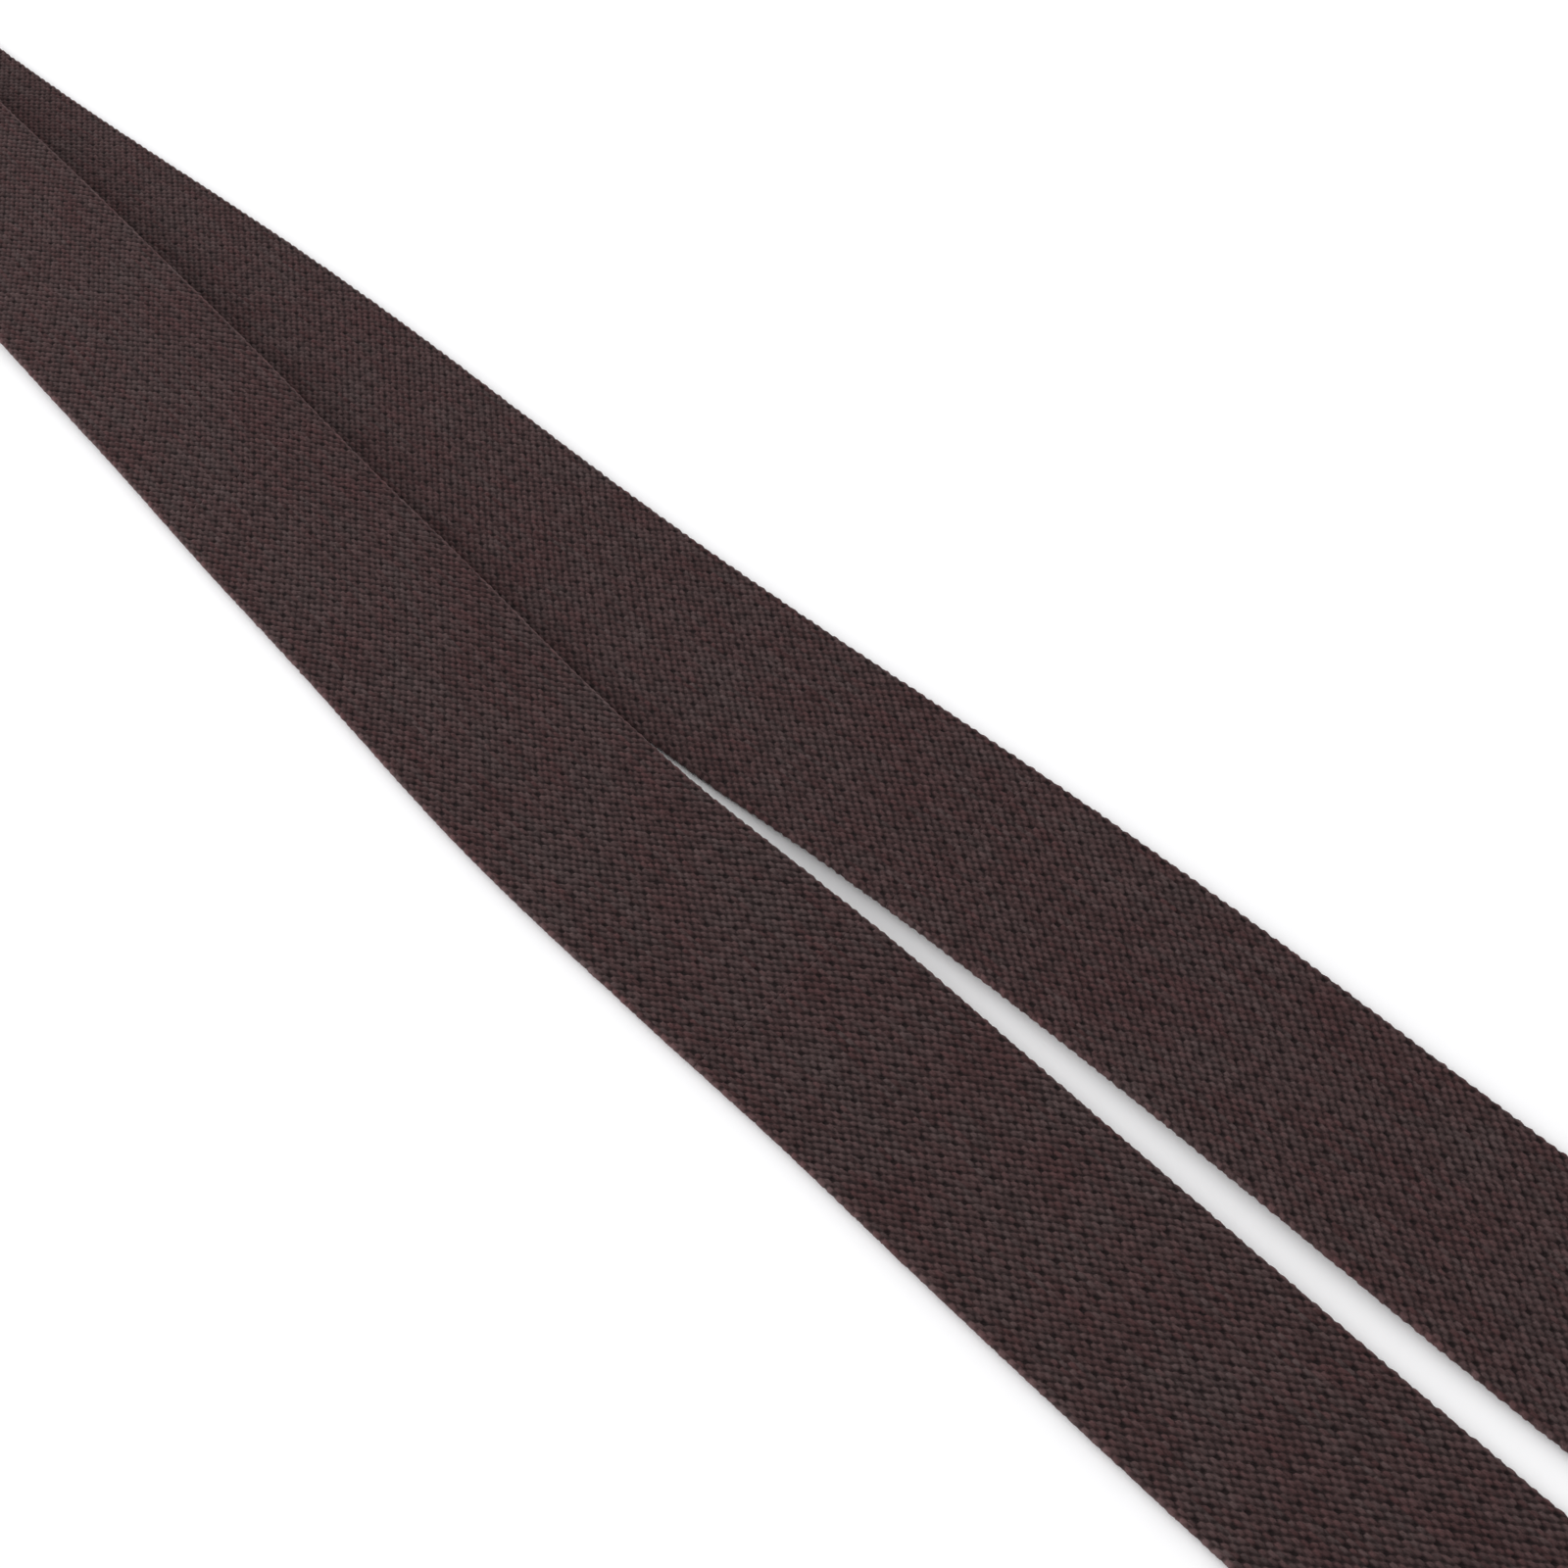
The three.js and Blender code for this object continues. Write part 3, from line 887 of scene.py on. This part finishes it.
@dataclass
class StrapSection:
    """One closed round of samples about the webbing's cross-section.

    Attributes:
        sizes: The belt's sizes.
        inner: How finely the inner face is sampled.
        outer: How finely the outer face is sampled.
    """

    sizes: BeltSizes
    inner: Grain
    outer: Grain
    across: Array = field(init=False)
    depth: Array = field(init=False)
    lift: Array = field(init=False)

    def __post_init__(self) -> None:
        """Work out the samples."""
        half = self.sizes.width / 2
        top = self.face(self.inner)
        under = self.face(self.outer)[::-1]
        self.across = np.concatenate([top, [half], under, [-half]])
        side = np.concatenate([np.ones(len(top)), [0], -np.ones(len(under)), [0]])
        radius, thick = self.sizes.selvedge, self.sizes.middle
        past = np.clip((np.abs(self.across) - (half - radius)) / radius, 0, 1)
        self.depth = side * thick * np.sqrt(1 - past**2)
        sideways = np.sign(self.across) * past / radius
        upward = self.depth / thick**2
        lift = np.stack([sideways, upward], axis=1)
        lift /= np.linalg.norm(lift, axis=1, keepdims=True)
        self.lift = lift * (1 - self.sizes.edge_hold * past)[:, None]

    def face(self, grain: Grain) -> Array:
        """Sample one face from side to side."""
        middles = np.arange(self.sizes.warp_ends) + 0.5
        ends = middles[:, None] + np.array(grain.value)[None, :]
        return ends.ravel() * self.sizes.end_pitch - self.sizes.width / 2

    def sweep(self, name: str, stations: Stations, shape: Shape | None = None) -> Piece:
        """Carry the section along stations and close both ends.

        Args:
            name: The piece's name.
            stations: Where the webbing goes.
            shape: What to add to the points, from the points and their lift.

        Returns:
            The smooth strap, with the attributes that the weave reads.
        """
        count, ring = len(stations.along), len(self.across)
        sideways, inward = stations.across[:, None, :], stations.inner[:, None, :]
        flat = self.across[None, :, None] * sideways + self.depth[None, :, None] * inward
        points = (stations.centre[:, None, :] + flat).reshape(-1, 3)
        lift = self.lift[None, :, :1] * sideways + self.lift[None, :, 1:] * inward
        lift = lift.reshape(-1, 3)
        if shape is not None:
            points = points + shape(points, lift)
        grid = np.arange(count * ring).reshape(count, ring)
        beside = np.roll(grid, -1, axis=1)
        quads = [grid[:-1], grid[1:], beside[1:], beside[:-1]]
        walls = np.stack(quads, axis=-1).reshape(-1, 4)
        smooth = np.concatenate([np.ones(len(walls)), [0, 0]])
        piece = mesh_piece(name, points, [walls, grid[0], grid[-1][::-1]], smooth)
        half = self.sizes.width / 2
        self.mark(piece, "along", np.repeat(stations.along, ring))
        self.mark(piece, "across", np.tile(self.across + half, count))
        vectors = piece.data.attributes.new("lift", "FLOAT_VECTOR", "POINT")
        vectors.data.foreach_set("vector", lift.astype(np.float32).ravel())
        return piece

    @staticmethod
    def mark(piece: Piece, name: str, values: Array) -> None:
        """Store a number at each point of a piece."""
        layer = piece.data.attributes.new(name, "FLOAT", "POINT")
        layer.data.foreach_set("value", values.astype(np.float32))


@dataclass
class Workshop:
    """The trees, finishes and path that every piece shares."""

    sizes: BeltSizes
    path: BeltPath
    weave: Weave
    stitches: StitchRow
    webbing: Material
    thread: Material
    label: Material

    def weave_piece(
        self,
        piece: Piece,
        nodes: tuple[str, ...],
        length: float,
        held: str,
        under: tuple[str, ...] = (),
    ) -> None:
        """Args:
            piece: The smooth strap.
            nodes: The CAD nodes it stands for.
            length: Its length as cut; not used.
            held: How it lies; not used.
            under: The pieces that it rests on; not used.
        """
        values = {
            "End Pitch": self.sizes.end_pitch,
            "Row Pitch": self.sizes.float_pitch,
            "Relief": self.sizes.relief,
            "Yarn Lean": 0.10,
            "Deep Pits": 0.45,
            "Lower Yarn": 0.12,
            "Unevenness": 0.9,
            "Wobble": 1.4,
            "Seed": 0.37,
            "Finish": self.webbing,
        }
        self.weave.grow(piece, values)
        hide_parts(*nodes)
        log.info("%s: %d faces", piece.name, len(piece.data.polygons))

    def sew(
        self, name: str, lines: list[Array], body: str, node: str, pitch: float
    ) -> None:
        """Lay stitches along lines.

        Args:
            name: The piece's name.
            lines: The sewn lines, each from one point to another.
            body: The body it rides on.
            node: The CAD node it stands for.
            pitch: The distance from stitch to stitch.
        """
        mesh = bpy.data.meshes.new(name)
        points = np.concatenate(lines)
        edges = [(i, i + 1) for i in range(0, len(points), 2)]
        mesh.from_pydata(points.tolist(), edges, [])
        piece = bpy.data.objects.new(name, mesh)
        bpy.context.scene.collection.objects.link(piece)
        values = {
            "Stitch Pitch": pitch,
            "Stitch Length": pitch * self.sizes.stitch_share,
            "Thread Radius": self.sizes.thread_radius,
            "Finish": self.thread,
        }
        self.stitches.grow(piece, values)
        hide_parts(node)
        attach(piece, body)
        log.info("%s: %d faces", piece.name, len(piece.data.polygons))


@dataclass
class WebbingRun:
    """One half of the belt's webbing, cut where it flexes.

    Attributes:
        shop: The shared tools.
        run: Which half it is.
        fine_rows: Rows where the close weave begins and ends.
        fine_pieces: How many pieces the close weave is in.
        rows_before: Rows before each flex hinge that go into its flex stretch.
        rows_after: Rows after it that go into the flex stretch, where the cloth rises clear
            of the floor.
        lap_ends: Where along the belt the run no longer starts on the other one.
        close_weave: How finely the close weave is sampled, and its steps a row.
        plain_weave: The same for the rest.
    """

    shop: Workshop
    run: Run
    fine_rows: tuple[int, int] = (40, 276)
    fine_pieces: int = 3
    rows_before: int = 5
    rows_after: int = 17
    lap_ends: float = -0.25
    close_weave: tuple[Grain, int] = (Grain.FINE, 5)
    plain_weave: tuple[Grain, int] = (Grain.MEDIUM, 2)

    def place(self, first: float, last: float, steps_per_row: int) -> Stations:
        """Put stations between two rows."""
        pitch = self.shop.sizes.row_pitch
        steps = max(2, round((last - first) * steps_per_row))
        runs = np.linspace(first * pitch, last * pitch, steps + 1)
        if self.run is Run.LOWER:
            return self.shop.path.lower(runs[::-1])
        return self.shop.path.upper(runs)

    def section(self, near: Grain, far: Grain) -> StrapSection:
        """Give the section with its finer face upwards."""
        inner, outer = (near, far) if self.run is Run.LOWER else (far, near)
        return StrapSection(self.shop.sizes, inner, outer)

    def stretch(
        self, label: str, rows: Span, nodes: tuple[str, ...], close: bool = False
    ) -> Piece:
        """Make one stretch of the run."""
        pitch = self.shop.sizes.row_pitch
        grain, steps = self.close_weave if close else self.plain_weave
        section = self.section(grain, Grain.PLAIN)
        stations = self.place(rows[0], rows[1], steps)
        piece = section.sweep(f"webbing_{self.run.value}_{label}", stations, self.drape)
        lapped = self.run is Run.UPPER and FOLD_X + rows[0] * pitch < self.lap_ends
        under = ("lower_run_base",) if lapped else ()
        length = (rows[1] - rows[0]) * pitch
        self.shop.weave_piece(piece, nodes, length, "laid", under)
        return piece

    def drape(self, points: Array, _lift: Array) -> Array:
        """Give what the cloth's own weight and set add to its points."""
        path = self.shop.path
        return path.lower_curl(points) if self.run is Run.LOWER else path.droop(points)

    def base_nodes(self, rows: Span) -> tuple[str, ...]:
        """Name the CAD nodes that lie between two rows before the first flex."""
        if self.run is Run.LOWER:
            return ("lower_run_base",)
        near, far = (FOLD_X + row * self.shop.sizes.row_pitch for row in rows)
        nodes = ("upper_run_settle", "upper_run_lap", "upper_run_step", "upper_run_base")
        return tuple(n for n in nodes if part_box(n)[0][0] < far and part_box(n)[1][0] > near)

    def build(self) -> None:
        """Make the run from the fold to where its hem begins."""
        pitch = self.shop.sizes.row_pitch
        half = self.run.value
        flexes = [hinge_place(f"{half}_{part}_flex") for part in ("first", "second")]
        middles = [round((f.x - FOLD_X) / pitch * 2) / 2 for f in flexes]
        before, after = self.rows_before, self.rows_after
        bends = [(math.floor(m - before), math.ceil(m + after)) for m in middles]
        tip = LOWER_TIP if self.run is Run.LOWER else UPPER_TIP
        end = (tip - self.shop.sizes.hem_stretch - FOLD_X) / pitch
        first, last = self.fine_rows
        cuts = np.linspace(first, last, self.fine_pieces + 1).round().astype(int)
        body = f"{half}_run"
        parts = [("start", (self.shop.sizes.lead_rows, first), False)]
        for number, (a, b) in enumerate(zip(cuts, cuts[1:]), 1):
            parts.append((f"close_{number}", (int(a), int(b)), True))
        parts.append(("rest", (last, bends[0][0]), False))
        for label, rows, close in parts:
            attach(self.stretch(label, rows, self.base_nodes(rows), close), body)
        middle = self.stretch("middle", (bends[0][1], bends[1][0]), (f"{half}_run_middle",))
        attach(middle, f"{half}_middle")
        tail = self.stretch("tail", (bends[1][1], end), (f"{half}_run_tail",))
        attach(tail, f"{half}_tail")
        joins = ((f"{half}_run", f"{half}_middle"), (f"{half}_middle", f"{half}_tail"))
        for number, (hinge, rows, pair) in enumerate(zip(flexes, bends, joins), 1):
            parts = ("base", "middle", "tail")[number - 1 : number + 1]
            nodes = tuple(f"{half}_run_{part}" for part in parts)
            piece = self.stretch(f"flex_{number}", rows, nodes)
            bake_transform(piece)


@dataclass
class Fold:
    """The half turn that joins the two runs, with a short lead on each side."""

    shop: Workshop
    steps: int = 24
    lead_steps: int = 6

    def build(self) -> None:
        """Make the fold."""
        sizes, path = self.shop.sizes, self.shop.path
        lead = sizes.lead_rows * sizes.row_pitch
        runs = np.linspace(0, lead, self.lead_steps + 1)
        stations = path.lower(runs[::-1]).joined(path.fold(self.steps))
        stations = stations.joined(path.upper(runs))
        section = StrapSection(sizes, Grain.PLAIN, Grain.FINE)
        piece = section.sweep("webbing_fold", stations)
        length = 2 * lead + math.pi * sizes.fold_radius
        nodes = ("fold_lower_half", "fold_upper_half")
        self.shop.weave_piece(piece, nodes, length, "folded")
        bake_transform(piece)


def dipped(lines: list[Array], depth: float, reach: float) -> Shape:
    """Make a shape that pulls cloth in along sewn lines.

    Args:
        lines: The sewn lines, as points.
        depth: How deep the cloth is pulled.
        reach: How far to each side it is pulled.

    Returns:
        A function from points and their lift to what is added.
    """

    def pull(points: Array, lift: Array) -> Array:
        """Pull points that lie near a line towards the cloth's middle."""
        nearest = np.full(len(points), np.inf)
        for a, b in lines:
            way = (b - a)[:2]
            t = np.clip(((points[:, :2] - a[:2]) @ way) / (way @ way), 0, 1)
            gap = np.linalg.norm(points[:, :2] - a[:2] - t[:, None] * way, axis=1)
            nearest = np.minimum(nearest, gap)
        return -lift * (depth * np.exp(-((nearest / reach) ** 2)))[:, None]

    return pull


def box_lines(x: float, y: float, z: float, length: float, width: float) -> list[Array]:
    """Draw the four lines of a box of stitches about its middle."""
    a, b = length / 2, width / 2
    corners = [(x - a, y - b, z), (x + a, y - b, z), (x + a, y + b, z), (x - a, y + b, z)]
    return [np.array([corners[i], corners[(i + 1) % 4]]) for i in range(4)]


@dataclass
class Hem:
    """A tip turned back on itself and sewn down with a box of stitches."""

    shop: Workshop
    run: Run
    stitch_pitch: float = 0.0028
    dip: float = 0.00030
    dip_reach: float = 0.0009

    def build(self) -> None:
        """Make the hem and its two threads."""
        s, half = self.shop.sizes, self.run.value
        lower = self.run is Run.LOWER
        tip = LOWER_TIP if lower else UPPER_TIP
        lane = s.lane if lower else -s.lane
        start = tip - s.hem_stretch - FOLD_X
        first = -start if lower else start + s.fold_rows * s.row_pitch
        stations = self.shop.path.hem(self.run, tip, lane, first)
        middle = tip - s.thickness - s.hem_gap / 2 - s.hem_turnback / 2
        box = (s.hem_turnback - 2 * s.hem_margin, s.width - 2 * s.stitch_edge)
        over = 2 * s.thickness + s.hem_gap
        lines = box_lines(middle, lane, over - self.dip, *box)
        under = box_lines(middle, lane, s.thread_radius, *box)
        section = StrapSection(s, Grain.MEDIUM, Grain.MEDIUM)
        shape = dipped(lines, self.dip, self.dip_reach)
        piece = section.sweep(f"webbing_{half}_hem", stations, shape)
        cut = float(np.ptp(stations.along))
        self.shop.weave_piece(piece, (f"{half}_tip_hem",), cut, "folded")
        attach(piece, f"{half}_tail")
        for name, rows in (("needle", lines), ("bobbin", under)):
            node = f"{half}_tip_{name}_thread"
            title, body = f"stitches_{half}_tip_{name}", f"{half}_tail"
            self.shop.sew(title, rows, body, node, self.stitch_pitch)


@dataclass
class Label:
    """A blank cloth label sewn on the upper tail."""

    shop: Workshop
    corner: float = 0.001
    margin: float = 0.0025
    rim: float = 0.0006
    spacing: float = 0.0004
    stitch_pitch: float = 0.0024
    dip: float = 0.00028
    dip_reach: float = 0.0007
    sink: float = 0.0001
    edge_height: float = 0.00008

    def build(self) -> None:
        """Make the label and its two threads."""
        low, high = (Vector(c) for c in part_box("blank_label"))
        middle, half = (low + high) / 2, (high - low) / 2
        top, radius = high.z, self.shop.sizes.thread_radius
        box = (2 * (half.x - self.margin), 2 * (half.y - self.margin))
        lines = box_lines(middle.x, middle.y, top, *box)
        counts = [round(2 * h / self.spacing) for h in (half.x, half.y)]
        ticks = [np.linspace(-h, h, n + 1) for h, n in zip(half, counts)]
        x, y = self.rounded(*np.meshgrid(*ticks, indexing="ij"), half)
        edge = np.minimum(half.x - np.abs(x), half.y - np.abs(y))
        rise = np.sqrt(np.clip(1 - (1 - np.clip(edge / self.rim, 0, 1)) ** 2, 0, 1))
        bottom = low.z - self.shop.sizes.layer_gap
        face = bottom + self.edge_height + (top - bottom - self.edge_height) * rise
        place, back = (
            np.stack([x + middle.x, y + middle.y, z], axis=-1).reshape(-1, 3)
            for z in (face, np.full_like(x, bottom))
        )
        lift = np.tile([0.0, 0.0, 1.0], (len(place), 1))
        place = place + dipped(lines, self.dip, self.dip_reach)(place, lift)
        points = np.concatenate([place, back])
        grid = np.arange(len(place)).reshape(x.shape)
        quads = [grid[:-1, :-1], grid[1:, :-1], grid[1:, 1:], grid[:-1, 1:]]
        top_faces = np.stack(quads, axis=-1).reshape(-1, 4)
        under_faces = top_faces[:, ::-1] + len(place)
        rim = np.concatenate([grid[:-1, 0], grid[-1, :-1], grid[:0:-1, -1], grid[0, :0:-1]])
        after = np.roll(rim, -1)
        walls = np.stack([rim, rim + len(place), after + len(place), after], axis=-1)
        faces = [top_faces, under_faces, walls]
        smooth = np.ones(sum(len(f) for f in faces))
        piece = mesh_piece("label_cloth_blank", points, faces, smooth)
        piece.data.materials.append(self.shop.label)
        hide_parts("blank_label")
        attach(piece, "upper_tail")
        log.info("%s: %d faces", piece.name, len(piece.data.polygons))
        for name, drop in (("needle", -self.sink), ("bobbin", radius - top)):
            rows = [line + np.array([0, 0, drop]) for line in lines]
            title, node = f"stitches_label_{name}", f"label_{name}_thread"
            self.shop.sew(title, rows, "upper_tail", node, self.stitch_pitch)

    def rounded(self, x: Array, y: Array, half: Vector) -> tuple[Array, Array]:
        """Round the corners of a flat grid."""
        dx = np.clip(np.abs(x) - (half.x - self.corner), 0, None)
        dy = np.clip(np.abs(y) - (half.y - self.corner), 0, None)
        reach = np.hypot(dx, dy)
        keep = np.where(reach > 0, np.maximum(dx, dy) / np.where(reach > 0, reach, 1), 1)
        new_x = np.sign(x) * (np.abs(x) - dx + dx * keep)
        new_y = np.sign(y) * (np.abs(y) - dy + dy * keep)
        return new_x, new_y


@dataclass
class Studio:
    """A white floor, soft light and the camera."""

    camera_place: Triple = (0.014, -0.174, 0.3894)
    camera_right: Triple = (0.6820, 0.7232, -0.1094)
    camera_ahead: Triple = (-0.5185, 0.3725, -0.7697)
    lens: float = 65.0
    sensor: float = 36.0
    clip: Span = (0.01, 50.0)
    floor_half: float = 4.0
    sky: float = 0.96
    key_size: float = 1.2
    key_power: float = 13.5
    key_place: Triple = (-1.60, -0.75, 0.90)
    key_aim: Triple = (-0.38, 0.0, 0.0)

    def build_camera(self) -> None:
        """Set the camera over the belt."""
        data = bpy.data.cameras.new("belt_camera")
        data.lens, data.sensor_width = self.lens, self.sensor
        data.clip_start, data.clip_end = self.clip
        camera = bpy.data.objects.new("belt_camera", data)
        ahead = Vector(self.camera_ahead).normalized()
        right = Vector(self.camera_right)
        right = (right - ahead * right.dot(ahead)).normalized()
        up = right.cross(ahead)
        turn = Matrix((right, up, -ahead)).transposed().to_4x4()
        camera.matrix_world = Matrix.Translation(self.camera_place) @ turn
        bpy.context.scene.collection.objects.link(camera)
        bpy.context.scene.camera = camera

    def build_floor(self) -> None:
        """Lay the floor."""
        reach = self.floor_half
        corners = reach * np.array([(-1, -1, 0), (1, -1, 0), (1, 1, 0), (-1, 1, 0)])
        floor = mesh_piece("floor", corners, [np.arange(4)], np.zeros(1))
        floor.data.materials.append(FloorFinish().build())

    def build_key(self) -> None:
        """Add a square lamp that falls off gently along the belt."""
        data = bpy.data.lights.new("key_light", "AREA")
        data.shape, data.size, data.energy = "SQUARE", self.key_size, self.key_power
        lamp = bpy.data.objects.new("key_light", data)
        way = Vector(self.key_aim) - Vector(self.key_place)
        turn = way.to_track_quat("-Z", "Y").to_matrix().to_4x4()
        lamp.matrix_world = Matrix.Translation(self.key_place) @ turn
        lamp.visible_camera = False
        bpy.context.scene.collection.objects.link(lamp)

    def build_light(self) -> None:
        """Light the floor past white and the belt softly."""
        world = bpy.data.worlds.new("studio_sky")
        world.use_nodes = True
        sky = world.node_tree.nodes["Background"]
        sky.inputs[0].default_value = (1.0, 1.0, 1.0, 1.0)
        sky.inputs[1].default_value = self.sky
        bpy.context.scene.world = world
        self.build_key()
        bpy.context.scene.view_settings.view_transform = "Standard"


def main() -> None:
    """Build the belt in order and report each piece."""
    logging.basicConfig(level=logging.INFO, format="%(name)s %(message)s")
    studio = Studio()
    studio.build_camera()
    studio.build_floor()
    studio.build_light()
    shop = Workshop(
        SIZES,
        BeltPath(SIZES),
        Weave(),
        StitchRow(),
        WebbingFinish().build(),
        ThreadFinish().build(),
        LabelFinish().build(),
    )
    for run in Run:
        WebbingRun(shop, run).build()
        Hem(shop, run).build()
    Fold(shop).build()
    Label(shop).build()


if __name__ == "__main__":
    main()
